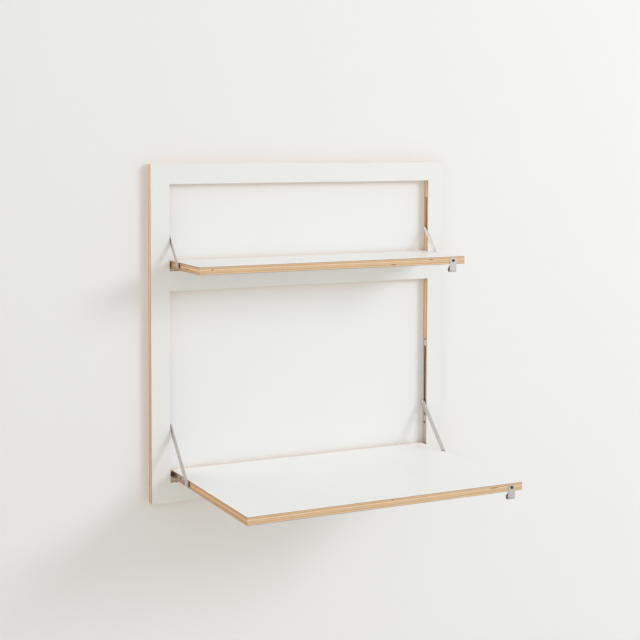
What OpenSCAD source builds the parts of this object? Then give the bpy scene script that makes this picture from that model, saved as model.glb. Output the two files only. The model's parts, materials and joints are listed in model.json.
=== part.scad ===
// Wall-hung folding secretary: a flat plywood frame with two openings. A desk board and a
// shelf board fold out of the openings on steel hinges and hang on steel struts.
//
// X runs to the right along the wall, +Y points into the wall and +Z up. The origin is the
// middle of the line between the two wall screws, in the plane of the frame's back face.
// Both boards are drawn folded down, which is how the piece is used.

/* [Frame] */
// Width of the frame
frame_w = 800; // [700:10:1000]
// Height of the frame
frame_h = 800; // [760:10:1000]
// Thickness of the frame and of both boards, laminate included
panel_t = 18; // [17:0.5:21]
// Thickness of each laminate skin
laminate_t = 0.8; // [0.6:0.1:1.2]
// Width of the stiles and of the three rails
rail_w = 47; // [42:1:60]
// Clear height of the upper opening
upper_open_h = 204; // [190:2:260]

/* [Shelf board] */
// Gap between the shelf's sides and the stiles
shelf_side_gap = 4.5; // [4.5:0.25:6]
// Gap under the shelf's rear end
shelf_foot_gap = 6; // [5.5:0.5:9]
// Gap over the shelf's front edge once folded up
shelf_head_gap = 5.5; // [4:0.5:8]
// Distance from the hinge to the strut's pivot on the board
shelf_pivot = 55; // [45:1:60]
// Height of the strut's slider over the hinge when folded down
shelf_rise = 65; // [55:1:70]
// Width of the shelf's struts
shelf_strut_w = 10; // [9:0.5:12]
// Thickness of the shelf's struts
shelf_strut_t = 2; // [1.5:0.25:2]
// Width of the groove that is milled in the stile for the shelf's slider
groove_w = 9; // [8.5:0.25:11]

/* [Desk board] */
// Gap between the desk's sides and the stiles
desk_side_gap = 8; // [7:0.5:10]
// Gap under the desk's rear end
desk_foot_gap = 9.5; // [6:0.5:12]
// Gap over the desk's front edge once folded up
desk_head_gap = 4.5; // [4:0.5:8]
// Distance from the hinge to the strut's pivot on the board
desk_pivot = 104; // [85:1:110]
// Height of the strut's slider over the hinge when folded down
desk_rise = 114; // [105:1:120]
// Width of the desk's struts
desk_strut_w = 12; // [11:0.5:14]
// Thickness of the desk's struts
desk_strut_t = 3; // [2:0.5:3.5]

/* [Steel fittings] */
// Width of the slotted guide rail in each stile
guide_w = 11; // [10.5:0.5:13]
// Thickness of the guide rail
guide_t = 3; // [2.5:0.5:4]
// Width of the guide rail's slot
guide_slot_w = 7; // [6.5:0.25:7.5]
// Width of the steel plate on each side of the desk board
plate_w = 12; // [11:0.5:13]
// Thickness of that plate
plate_t = 3; // [2.5:0.5:4]
// How far the plate lies below the board's side
plate_sunk = 1.5; // [1:0.25:2]
// Diameter of the hinge pins
hinge_d = 6; // [5:0.5:6.5]
// Diameter of the pivot rivets that carry the struts
pivot_d = 5; // [4:0.5:5.5]

/* [Pull loops] */
// Distance from the middle of both loops to the right stile
loop_inset = 37; // [30:1:153]
// Width of the strip
loop_w = 18; // [14:1:24]
// Thickness of the strip
loop_t = 1.2; // [1:0.1:1.6]
// How far the loop hangs below the board
loop_drop = 20; // [18:1:26]
// Depth of the loop from front to back
loop_depth = 11.6; // [10:0.2:14]

/* [Wall fixing] */
// Distance from each wall screw to the frame's side
hanger_inset = 80; // [40:5:150]
// Radius of the round entry of each keyhole
keyhole_r = 5; // [4.5:0.25:5.5]
// Width of the keyhole's narrow part
keyhole_neck = 5; // [4:0.25:5]
// Thickness of the hanger plates
hanger_t = 2; // [1.5:0.25:3]
// Diameter of the bumpers that keep the frame off the wall
bumper_d = 16; // [12:1:20]
// Thickness of the bumpers
bumper_t = 2; // [2:0.25:4]

/* [Clearances] */
// Radial clearance of a pin that turns in a bore
run_gap = 0.05; // [0.02:0.01:0.1]
// Clearance between pieces that move past each other
pass_gap = 0.3; // [0.25:0.05:0.5]
// Clearance of a piece seated in its pocket
seat_gap = 0.1; // [0.05:0.05:0.3]
// Radial clearance of a screw in its pilot hole
pilot_gap = 0.04; // [0.02:0.01:0.1]

/* [Hidden] */
$fn = 48;
LEFT = -1;
RIGHT = 1;
SIDES = [LEFT, RIGHT];
eps = 0.01;

// Levels of the frame
frame_top = rail_w / 2;
frame_foot = frame_top - frame_h;
mid_y = -panel_t / 2;
core_t = panel_t - 2 * laminate_t;
inner_x = frame_w / 2 - rail_w;
lower_foot = frame_foot + rail_w;
upper_head = frame_top - rail_w;
upper_foot = upper_head - upper_open_h;
lower_head = upper_foot - rail_w;
loop_x = inner_x - loop_inset;
hanger_x = frame_w / 2 - hanger_inset;

// Boards: hinge height, half width, reach of the front edge from the hinge
desk_z = lower_foot + desk_foot_gap + panel_t / 2;
desk_x = inner_x - desk_side_gap;
desk_reach = lower_head - desk_head_gap - desk_z;
shelf_z = upper_foot + shelf_foot_gap + panel_t / 2;
shelf_x = inner_x - shelf_side_gap;
shelf_reach = upper_head - shelf_head_gap - shelf_z;
// The upper rear edge is rounded so that it clears the wall as the board turns
rear_round = panel_t / 3;

// Struts: length, tilt at rest, slider travel and the faces along X
desk_strut_l = norm([desk_pivot, desk_rise]);
desk_tilt = atan2(desk_rise, desk_pivot);
desk_travel = desk_pivot + desk_strut_l - desk_rise;
desk_strut_in = inner_x - (desk_side_gap + desk_strut_t) / 2;
desk_strut_out = desk_strut_in + desk_strut_t;
shelf_strut_l = norm([shelf_pivot, shelf_rise]);
shelf_tilt = atan2(shelf_rise, shelf_pivot);
shelf_travel = shelf_pivot + shelf_strut_l - shelf_rise;
shelf_strut_in = inner_x - (shelf_side_gap + shelf_strut_t) / 2;
shelf_strut_out = shelf_strut_in + shelf_strut_t;
// Rivet heads are as thick as the room beside the struts allows
desk_rivet_h = (desk_side_gap - desk_strut_t) / 2 - 4 * pass_gap;
shelf_rivet_h = (shelf_side_gap - shelf_strut_t) / 2 - 2 * pass_gap;

// Guide rail: slot ends, screw heights over the hinge and the channel behind it
neck_d = guide_slot_w - 2 * pass_gap;
neck_wall = 0.7;
slider_pin_d = neck_d - 2 * neck_wall;
slot_low = desk_z + desk_rise;
slot_high = slot_low + desk_travel;
guide_head_l = 17;
guide_head = slot_high + guide_slot_w / 2 + guide_head_l;
guide_screws = [62, 84, guide_head - desk_z];
shoe_l = 14;
shoe_lap = 0.5;
shoe_w = guide_slot_w + 2 * shoe_lap;
shoe_t = 4;
channel_w = shoe_w + 2 * pass_gap;
channel_t = shoe_t + 3;
shelf_pin_d = pivot_d - 1;
groove_t = 9;

// Desk side plate and shelf pivot block
plate_pocket_l = desk_pivot + 4;
plate_out = desk_x - plate_sunk;
plate_in = plate_out - plate_t;
plate_screws = [48, 74];
block_l = 22;
block_w = 11;
block_t = 2.5;
block_sunk = 1;
block_out = shelf_x - block_sunk;
block_in = block_out - block_t;
block_screw = 7;

// Small hardware
screw_d = 3.5;
screw_head_d = 6.4;
screw_l = 16;
drive_d = 2.6;
drive_h = 1.4;
pull_screw_d = 4;
pull_screw_z = -0.5;
pull_head_d = 7.6;
pull_head_h = 1.6;
pull_drive_d = 3;
pull_drive_h = 1.5;
desk_rivet_d = 9;
shelf_rivet_d = 8;
bush_d = 10;
bush_l = 16;
washer_d = 12;
pin_grip = 18;
pin_end_l = 1.5;

// Pull loops: the plate's level, its corners and the bend below the board's edge
loop_plate_top = panel_t / 2 - 3.5;
loop_corner = 3;
loop_bend = 0.4;

// Hanger plates, and the room behind them for the head of the wall screw
keyhole_rise = 9;
hanger_l = 56;
hanger_foot = -keyhole_r - 5;
hanger_head = keyhole_rise + keyhole_r + 2;
hanger_screw_x = 21;
hanger_screw_z = (hanger_foot + hanger_head) / 2;
hanger_screw_l = 12;
head_r = keyhole_r + 1;
head_room = 8;

// Colours
PLY = [0.84, 0.66, 0.45];
WHITE = [0.93, 0.93, 0.90];
STEEL = [0.74, 0.73, 0.71];
DARK = [0.20, 0.19, 0.17];
NYLON = [0.30, 0.29, 0.28];
RUBBER = [0.12, 0.12, 0.12];
BRASS = [0.72, 0.58, 0.32];

// ---- Shared shapes ----

// Draws its children on the right, or mirrored on the left
module on_side(side) {
    if (side == RIGHT) children();
    else mirror([1, 0, 0]) children();
}

// A round bar along X from x0 to x1
module bar(x0, x1, d) {
    translate([x0, 0, 0]) rotate([0, 90, 0]) cylinder(h = x1 - x0, d = d);
}

// A flat bar with round ends from x0 to x1, its end centres at 0 and at length along +Y
module flat_bar(x0, x1, length, w) {
    bar(x0, x1, w);
    translate([0, length, 0]) bar(x0, x1, w);
    translate([x0, 0, -w / 2]) cube([x1 - x0, length, w]);
}

// The same flat bar standing up, its lower end centre at height z on the frame's mid plane
module upright_bar(x0, x1, z, length, w) {
    translate([0, mid_y, z]) rotate([90, 0, 0]) flat_bar(x0, x1, length, w);
}

// The same flat bar lying along a board, its rear end centre at distance y0 from the hinge
module board_bar(x0, x1, z, y0, length, w) {
    translate([0, mid_y - y0, z]) rotate([180, 0, 0]) flat_bar(x0, x1, length, w);
}

// A countersunk screw along +X, the face of its head at x = 0
module screw(length) {
    cone_h = (screw_head_d - screw_d) / 2;
    difference() {
        union() {
            rotate([0, 90, 0]) cylinder(h = cone_h, d1 = screw_head_d, d2 = screw_d);
            bar(cone_h, length, screw_d);
        }
        translate([-eps, 0, 0]) rotate([0, 90, 0]) cylinder(h = drive_h, d = drive_d, $fn = 6);
    }
}

// The hole that the same screw leaves, with clearance
module screw_hole(length) {
    cone_h = (screw_head_d - screw_d) / 2;
    rotate([0, 90, 0])
        cylinder(h = cone_h, d1 = screw_head_d + 2 * pilot_gap, d2 = screw_d + 2 * pilot_gap);
    bar(-eps, length + 1, screw_d + 2 * pilot_gap);
    translate([-1 + eps, 0, 0]) bar(0, 1, screw_head_d + 2 * pilot_gap);
}

// A rivet along X: shank from x0 to x1, and a flat head on its outer end
module rivet(x0, x1, d, head_d, head_h) {
    bar(x0, x1 + eps, d);
    bar(x1, x1 + head_h, head_d);
}

// ---- Frame ----

// The panel's outline with its two openings, from y0 to y1
module panel(y0, y1) {
    difference() {
        translate([-frame_w / 2, y0, frame_foot]) cube([frame_w, y1 - y0, frame_h]);
        translate([-inner_x, y0 - 1, lower_foot])
            cube([2 * inner_x, y1 - y0 + 2, lower_head - lower_foot]);
        translate([-inner_x, y0 - 1, upper_foot])
            cube([2 * inner_x, y1 - y0 + 2, upper_head - upper_foot]);
    }
}

// Everything that is milled into one stile's inner face
module stile_cuts() {
    upright_bar(inner_x - 1, inner_x + guide_t, desk_z, guide_head - desk_z,
                guide_w + 2 * seat_gap);
    upright_bar(inner_x + guide_t - eps, inner_x + guide_t + channel_t, slot_low - shoe_l / 2,
                desk_travel + shoe_l, channel_w);
    for (h = guide_screws)
        translate([inner_x, mid_y, desk_z + h]) screw_hole(screw_l);
    upright_bar(inner_x - 1, inner_x + groove_t, shelf_z + shelf_rise - shelf_strut_w / 4,
                shelf_travel + shelf_strut_w / 2, groove_w);
    translate([0, mid_y, shelf_z])
        bar(inner_x - 1, inner_x + pin_grip + 0.5, hinge_d + 2 * pilot_gap);
}

// Pocket for one hanger plate and for the head of the wall screw behind it
module hanger_cuts() {
    translate([hanger_x, 0, 0]) {
        translate([-hanger_l / 2 - seat_gap, -hanger_t, hanger_foot - seat_gap])
            cube([hanger_l + 2 * seat_gap, hanger_t + 1,
                  hanger_head - hanger_foot + 2 * seat_gap]);
        translate([0, eps - hanger_t, 0]) rotate([90, 0, 0]) {
            cylinder(h = head_room, r = head_r);
            translate([0, keyhole_rise, 0]) cylinder(h = head_room, r = head_r);
            translate([-head_r, 0, 0]) cube([2 * head_r, keyhole_rise, head_room]);
        }
        for (dx = [-hanger_screw_x, hanger_screw_x])
            translate([dx, 0, hanger_screw_z]) rotate([0, 0, -90]) screw_hole(hanger_screw_l);
    }
}

module frame_core() {
    color(PLY) difference() {
        panel(laminate_t - panel_t, -laminate_t);
        for (side = SIDES) on_side(side) {
            stile_cuts();
            hanger_cuts();
        }
    }
}

module frame_front_laminate() {
    color(WHITE) panel(-panel_t, laminate_t - panel_t);
}

module frame_back_laminate() {
    color(WHITE) difference() {
        panel(-laminate_t, 0);
        for (side = SIDES) on_side(side) hanger_cuts();
    }
}

// Slotted steel rail in the stile: the slider runs in its slot, the hinge pin sits at its foot
module guide_rail(side) {
    color(STEEL) on_side(side) difference() {
        upright_bar(inner_x, inner_x + guide_t, desk_z, guide_head - desk_z, guide_w);
        upright_bar(inner_x - 1, inner_x + guide_t + 1, slot_low, desk_travel, guide_slot_w);
        for (h = guide_screws)
            translate([inner_x, mid_y, desk_z + h]) screw_hole(screw_l);
        translate([0, mid_y, desk_z])
            bar(inner_x - 1, inner_x + guide_t + 1, hinge_d + 2 * pilot_gap);
    }
}

module guide_rail_screws() {
    color(STEEL) for (side = SIDES) on_side(side)
        for (h = guide_screws)
            translate([inner_x, mid_y, desk_z + h]) screw(screw_l);
}

// The pins on which the desk board turns, riveted into the guide rails
module desk_hinge_pins() {
    color(STEEL) for (side = SIDES) on_side(side)
        translate([0, mid_y, desk_z]) bar(plate_in - pin_end_l, inner_x + guide_t, hinge_d);
}

module desk_hinge_spacers() {
    color(NYLON) for (side = SIDES) on_side(side)
        translate([0, mid_y, desk_z]) difference() {
            bar(plate_out + pass_gap, inner_x, bush_d);
            bar(plate_out, inner_x + 1, hinge_d + 2 * pilot_gap);
        }
}

// The pins on which the shelf board turns, pressed into the stiles
module shelf_hinge_pins() {
    color(STEEL) for (side = SIDES) on_side(side)
        translate([0, mid_y, shelf_z])
            bar(shelf_x - bush_l + 2, inner_x + pin_grip, hinge_d);
}

module shelf_hinge_washers() {
    color(NYLON) for (side = SIDES) on_side(side)
        translate([0, mid_y, shelf_z]) difference() {
            bar(shelf_x + pass_gap, inner_x, washer_d);
            bar(shelf_x, inner_x + 1, hinge_d + 2 * pilot_gap);
        }
}

// Steel plate with a keyhole, let into the back of the top rail
module hanger_plate(side) {
    color(STEEL) on_side(side) translate([hanger_x, 0, 0]) difference() {
        translate([-hanger_l / 2, -hanger_t, hanger_foot])
            cube([hanger_l, hanger_t, hanger_head - hanger_foot]);
        translate([0, 1, 0]) rotate([90, 0, 0]) cylinder(h = hanger_t + 2, r = keyhole_r);
        translate([0, 1, keyhole_rise]) rotate([90, 0, 0])
            cylinder(h = hanger_t + 2, d = keyhole_neck);
        translate([-keyhole_neck / 2, -hanger_t - 1, 0])
            cube([keyhole_neck, hanger_t + 2, keyhole_rise]);
        for (dx = [-hanger_screw_x, hanger_screw_x])
            translate([dx, 0, hanger_screw_z]) rotate([0, 0, -90]) screw_hole(hanger_screw_l);
    }
}

module hanger_screws() {
    color(STEEL) for (side = SIDES) on_side(side)
        for (dx = [-hanger_screw_x, hanger_screw_x])
            translate([hanger_x + dx, 0, hanger_screw_z]) rotate([0, 0, -90])
                screw(hanger_screw_l);
}

module wall_bumpers() {
    color(RUBBER) for (side = SIDES) on_side(side)
        for (z = [0, frame_foot + rail_w / 2])
            translate([frame_w / 2 - rail_w / 2, bumper_t, z])
                rotate([90, 0, 0]) cylinder(h = bumper_t, d = bumper_d);
}

// ---- Boards ----

// A board's cross-section layer between heights z0 and z1 over the hinge, its sides at x_side
module board_layer(x_side, hinge_z, reach, z0, z1, rear) {
    translate([-x_side, mid_y - reach, hinge_z + z0]) cube([2 * x_side, reach + rear, z1 - z0]);
}

// The part that the round-over takes off the board's upper rear edge
module rear_round_cut(x_side, hinge_z) {
    flat = panel_t / 2 - rear_round;
    translate([0, mid_y + flat, hinge_z + flat]) difference() {
        translate([-x_side - 1, 0, 0]) cube([2 * x_side + 2, rear_round + 1, rear_round + 1]);
        bar(-x_side - 2, x_side + 2, 2 * rear_round);
    }
}

module board_core(x_side, hinge_z, reach) {
    difference() {
        board_layer(x_side, hinge_z, reach, -core_t / 2, core_t / 2, panel_t / 2);
        rear_round_cut(x_side, hinge_z);
        translate([loop_x, mid_y - reach, hinge_z + pull_screw_z]) rotate([0, 0, 90])
            bar(-1, screw_l + 1, pull_screw_d + 2 * pilot_gap);
        children();
    }
}

module top_laminate(x_side, hinge_z, reach) {
    color(WHITE) board_layer(x_side, hinge_z, reach, core_t / 2, panel_t / 2,
                             panel_t / 2 - rear_round);
}

module bottom_laminate(x_side, hinge_z, reach) {
    color(WHITE) board_layer(x_side, hinge_z, reach, -panel_t / 2, -core_t / 2, panel_t / 2);
}

module desk_core() {
    color(PLY) board_core(desk_x, desk_z, desk_reach)
        for (side = SIDES) on_side(side) {
            pocket_w = plate_w + 2 * seat_gap;
            board_bar(plate_in, desk_x + 1, desk_z, 0, plate_pocket_l, pocket_w);
            translate([plate_in, mid_y, desk_z - pocket_w / 2])
                cube([desk_x + 1 - plate_in, panel_t, pocket_w]);
            translate([0, mid_y, desk_z]) bar(plate_in - 2 * pin_end_l, plate_in + 1, hinge_d + 2);
            for (y = plate_screws)
                translate([plate_out, mid_y - y, desk_z]) mirror([1, 0, 0]) screw_hole(screw_l);
        }
}

module desk_top_laminate() {
    top_laminate(desk_x, desk_z, desk_reach);
}

module desk_bottom_laminate() {
    bottom_laminate(desk_x, desk_z, desk_reach);
}

// Steel plate in the board's side: the hinge pin turns in its rear end, the strut at its front
module desk_side_plate(side) {
    color(STEEL) on_side(side) difference() {
        board_bar(plate_in, plate_out, desk_z, 0, desk_pivot, plate_w);
        translate([0, mid_y, desk_z]) bar(plate_in - 1, plate_out + 1, hinge_d + 2 * run_gap);
        translate([0, mid_y - desk_pivot, desk_z])
            bar(plate_in - 1, plate_out + 1, pivot_d + 2 * pilot_gap);
        for (y = plate_screws)
            translate([plate_out, mid_y - y, desk_z]) mirror([1, 0, 0]) screw_hole(screw_l);
    }
}

module desk_plate_screws() {
    color(STEEL) for (side = SIDES) on_side(side)
        for (y = plate_screws)
            translate([plate_out, mid_y - y, desk_z]) mirror([1, 0, 0]) screw(screw_l);
}

module desk_pivot_rivets() {
    color(STEEL) for (side = SIDES) on_side(side)
        translate([0, mid_y - desk_pivot, desk_z])
            rivet(plate_in, desk_strut_out + pass_gap, pivot_d, desk_rivet_d, desk_rivet_h);
}

module desk_pivot_washers() {
    color(NYLON) for (side = SIDES) on_side(side)
        translate([0, mid_y - desk_pivot, desk_z]) difference() {
            bar(plate_out, desk_strut_in - pass_gap, bush_d);
            bar(plate_out - 1, desk_strut_in, pivot_d + 2 * pilot_gap);
        }
}

module shelf_core() {
    color(PLY) board_core(shelf_x, shelf_z, shelf_reach)
        for (side = SIDES) on_side(side) {
            translate([block_in, mid_y - shelf_pivot - block_l / 2 - seat_gap,
                       shelf_z - block_w / 2 - seat_gap])
                cube([shelf_x + 1 - block_in, block_l + 2 * seat_gap, block_w + 2 * seat_gap]);
            translate([0, mid_y, shelf_z])
                bar(shelf_x - bush_l - 0.5, shelf_x + 1, bush_d + 2 * pilot_gap);
            translate([block_out, mid_y - shelf_pivot + block_screw, shelf_z])
                mirror([1, 0, 0]) screw_hole(screw_l);
        }
}

module shelf_top_laminate() {
    top_laminate(shelf_x, shelf_z, shelf_reach);
}

module shelf_bottom_laminate() {
    bottom_laminate(shelf_x, shelf_z, shelf_reach);
}

// Bushes in the shelf's rear end, in which the hinge pins turn
module shelf_hinge_bushes() {
    color(BRASS) for (side = SIDES) on_side(side)
        translate([0, mid_y, shelf_z]) difference() {
            bar(shelf_x - bush_l, shelf_x, bush_d);
            bar(shelf_x - bush_l - 1, shelf_x + 1, hinge_d + 2 * run_gap);
        }
}

// Small steel block in the shelf's side that carries the strut's pivot
module shelf_pivot_block(side) {
    color(STEEL) on_side(side) difference() {
        translate([block_in, mid_y - shelf_pivot - block_l / 2, shelf_z - block_w / 2])
            cube([block_t, block_l, block_w]);
        translate([0, mid_y - shelf_pivot, shelf_z])
            bar(block_in - 1, block_out + 1, pivot_d + 2 * pilot_gap);
        translate([block_out, mid_y - shelf_pivot + block_screw, shelf_z])
            mirror([1, 0, 0]) screw_hole(screw_l);
    }
}

module shelf_block_screws() {
    color(STEEL) for (side = SIDES) on_side(side)
        translate([block_out, mid_y - shelf_pivot + block_screw, shelf_z])
            mirror([1, 0, 0]) screw(screw_l);
}

module shelf_pivot_rivets() {
    color(STEEL) for (side = SIDES) on_side(side)
        translate([0, mid_y - shelf_pivot, shelf_z])
            rivet(block_in, shelf_strut_out + pass_gap, pivot_d, shelf_rivet_d, shelf_rivet_h);
}

module shelf_pivot_washers() {
    color(NYLON) for (side = SIDES) on_side(side)
        translate([0, mid_y - shelf_pivot, shelf_z]) difference() {
            bar(block_out, shelf_strut_in - pass_gap, shelf_rivet_d);
            bar(block_out - 1, shelf_strut_in, pivot_d + 2 * pilot_gap);
        }
}

// ---- Pull loops ----

// Side view of the strip, front plane of the board at y = 0 and the board's middle at z = 0.
// The strip runs straight down, round the foot of the loop and back up to the board's edge.
module loop_profile() {
    r = loop_depth / 2;
    c = [r - loop_t, r - panel_t / 2 - loop_drop];
    apex = [0, -panel_t / 2 - loop_bend];
    to_c = c - apex;
    lean = atan2(to_c.y, to_c.x) + asin(r / norm(to_c));
    foot = apex + sqrt(to_c * to_c - r * r) * [cos(lean), sin(lean)];
    inner_foot = c + (foot - c) * (r - loop_t) / r;
    inner_apex = [0, inner_foot.y - inner_foot.x * tan(lean)];
    difference() {
        union() {
            translate(c) circle(r);
            polygon([apex, foot, c, [-loop_t, c.y], [-loop_t, apex.y]]);
        }
        translate(c) circle(r - loop_t);
        polygon([inner_apex, inner_foot, c, [0, c.y]]);
    }
}

module pull_loop(hinge_z, reach) {
    foot = -panel_t / 2 - loop_bend;
    half_w = loop_w / 2;
    color(STEEL) translate([loop_x, mid_y - reach, hinge_z]) difference() {
        union() {
            translate([-half_w, 0, 0]) rotate([90, 0, 90])
                linear_extrude(loop_w) loop_profile();
            translate([-half_w, -loop_t, foot])
                cube([loop_w, loop_t, loop_plate_top - loop_corner - foot]);
            translate([loop_corner - half_w, -loop_t, foot])
                cube([loop_w - 2 * loop_corner, loop_t, loop_plate_top - foot]);
            for (dx = [loop_corner - half_w, half_w - loop_corner])
                translate([dx, 0, loop_plate_top - loop_corner]) rotate([90, 0, 0])
                    cylinder(h = loop_t, r = loop_corner);
        }
        translate([0, -loop_t, pull_screw_z]) rotate([0, 0, 90])
            bar(-1, loop_t + 1, pull_screw_d + 2 * pilot_gap);
    }
}

// Button-head screw with a hex socket in the front edge of a board
module pull_screw(hinge_z, reach) {
    color(DARK) translate([loop_x, mid_y - reach - loop_t, hinge_z + pull_screw_z])
        rotate([0, 0, 90]) difference() {
            union() {
                bar(0, screw_l, pull_screw_d);
                translate([-pull_head_h, 0, 0]) rotate([0, 90, 0])
                    cylinder(h = pull_head_h, d1 = pull_head_d * 0.7, d2 = pull_head_d);
            }
            translate([-pull_head_h - eps, 0, 0]) rotate([0, 90, 0])
                cylinder(h = pull_drive_h, d = pull_drive_d, $fn = 6);
        }
}

module desk_pull_loop() {
    pull_loop(desk_z, desk_reach);
}

module desk_pull_screw() {
    pull_screw(desk_z, desk_reach);
}

module shelf_pull_loop() {
    pull_loop(shelf_z, shelf_reach);
}

module shelf_pull_screw() {
    pull_screw(shelf_z, shelf_reach);
}

// ---- Struts ----

// Flat strut from its pivot on the board up to its slider in the stile
module strut(side, x0, x1, hinge_z, pivot, tilt, length, w) {
    color(STEEL) on_side(side)
        translate([0, mid_y - pivot, hinge_z]) rotate([tilt, 0, 0]) difference() {
            flat_bar(x0, x1, length, w);
            bar(x0 - 1, x1 + 1, pivot_d + 2 * run_gap);
            translate([0, length, 0]) bar(x0 - 1, x1 + 1, pivot_d + 2 * pilot_gap);
        }
}

// Rivet in the strut's upper end, its head towards the board
module strut_rivet(side, x0, x1, z, head_d, head_h) {
    color(STEEL) on_side(side) translate([0, mid_y, z]) {
        bar(x0, x1, pivot_d);
        bar(x0 - head_h, x0, head_d);
    }
}

module desk_strut(side) {
    strut(side, desk_strut_in, desk_strut_out, desk_z, desk_pivot, desk_tilt, desk_strut_l,
          desk_strut_w);
}

module desk_strut_rivet(side) {
    strut_rivet(side, desk_strut_in, desk_strut_out, slot_low, desk_rivet_d, desk_rivet_h);
}

module shelf_strut(side) {
    strut(side, shelf_strut_in, shelf_strut_out, shelf_z, shelf_pivot, shelf_tilt,
          shelf_strut_l, shelf_strut_w);
}

module shelf_strut_rivet(side) {
    strut_rivet(side, shelf_strut_in, shelf_strut_out, shelf_z + shelf_rise, shelf_rivet_d,
                shelf_rivet_h);
}

// ---- Sliders ----

// Nylon shoe behind the guide rail, with a neck that runs in the rail's slot
module desk_slider(side) {
    behind = inner_x + guide_t + pass_gap;
    color(NYLON) on_side(side) difference() {
        union() {
            upright_bar(behind, behind + shoe_t, slot_low - shoe_l / 2 + shoe_w / 2,
                        shoe_l - shoe_w, shoe_w);
            translate([0, mid_y, slot_low]) bar(inner_x + 0.2, behind + eps, neck_d);
        }
        translate([0, mid_y, slot_low])
            bar(inner_x - 1, behind + shoe_t + 1, slider_pin_d + 2 * pilot_gap);
    }
}

module desk_slider_pin(side) {
    color(STEEL) on_side(side) translate([0, mid_y, slot_low])
        bar(desk_strut_out + pass_gap, inner_x + guide_t + pass_gap + shoe_t, slider_pin_d);
}

// Nylon shoe in the groove that is milled straight into the plywood
module shelf_slider(side) {
    w = groove_w - 2 * pass_gap;
    rest_z = shelf_z + shelf_rise;
    travel_end = shelf_strut_w / 4;
    color(NYLON) on_side(side) difference() {
        upright_bar(inner_x + 0.2, inner_x + groove_t - pass_gap, rest_z - travel_end + pass_gap,
                    2 * travel_end - 2 * pass_gap, w);
        translate([0, mid_y, rest_z])
            bar(inner_x - 1, inner_x + groove_t, shelf_pin_d + 2 * pilot_gap);
    }
}

module shelf_slider_pin(side) {
    color(STEEL) on_side(side) translate([0, mid_y, shelf_z + shelf_rise])
        bar(shelf_strut_out + pass_gap, inner_x + groove_t - pass_gap, shelf_pin_d);
}

frame_core();
frame_front_laminate();
frame_back_laminate();
guide_rail(LEFT);  // guide_rail_left
guide_rail(RIGHT);  // guide_rail_right
guide_rail_screws();
desk_hinge_pins();
desk_hinge_spacers();
shelf_hinge_pins();
shelf_hinge_washers();
hanger_plate(LEFT);  // hanger_plate_left
hanger_plate(RIGHT);  // hanger_plate_right
hanger_screws();
wall_bumpers();
desk_core();
desk_top_laminate();
desk_bottom_laminate();
desk_side_plate(LEFT);  // desk_side_plate_left
desk_side_plate(RIGHT);  // desk_side_plate_right
desk_plate_screws();
desk_pivot_rivets();
desk_pivot_washers();
desk_pull_loop();
desk_pull_screw();
shelf_core();
shelf_top_laminate();
shelf_bottom_laminate();
shelf_hinge_bushes();
shelf_pivot_block(LEFT);  // shelf_pivot_block_left
shelf_pivot_block(RIGHT);  // shelf_pivot_block_right
shelf_block_screws();
shelf_pivot_rivets();
shelf_pivot_washers();
shelf_pull_loop();
shelf_pull_screw();
desk_strut(LEFT);  // desk_strut_left
desk_strut(RIGHT);  // desk_strut_right
desk_strut_rivet(LEFT);  // desk_strut_rivet_left
desk_strut_rivet(RIGHT);  // desk_strut_rivet_right
shelf_strut(LEFT);  // shelf_strut_left
shelf_strut(RIGHT);  // shelf_strut_right
shelf_strut_rivet(LEFT);  // shelf_strut_rivet_left
shelf_strut_rivet(RIGHT);  // shelf_strut_rivet_right
desk_slider(LEFT);  // desk_slider_left
desk_slider(RIGHT);  // desk_slider_right
desk_slider_pin(LEFT);  // desk_slider_pin_left
desk_slider_pin(RIGHT);  // desk_slider_pin_right
shelf_slider(LEFT);  // shelf_slider_left
shelf_slider(RIGHT);  // shelf_slider_right
shelf_slider_pin(LEFT);  // shelf_slider_pin_left
shelf_slider_pin(RIGHT);  // shelf_slider_pin_right
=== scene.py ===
"""Finishes and fittings of a wall-hung folding secretary desk.

Sizes are in metres, in the frame of the CAD model: X runs to the right along the wall, +Y points
into the wall and Z up. The origin is the middle of the line between the two wall screws.
"""

import json
import math

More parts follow.
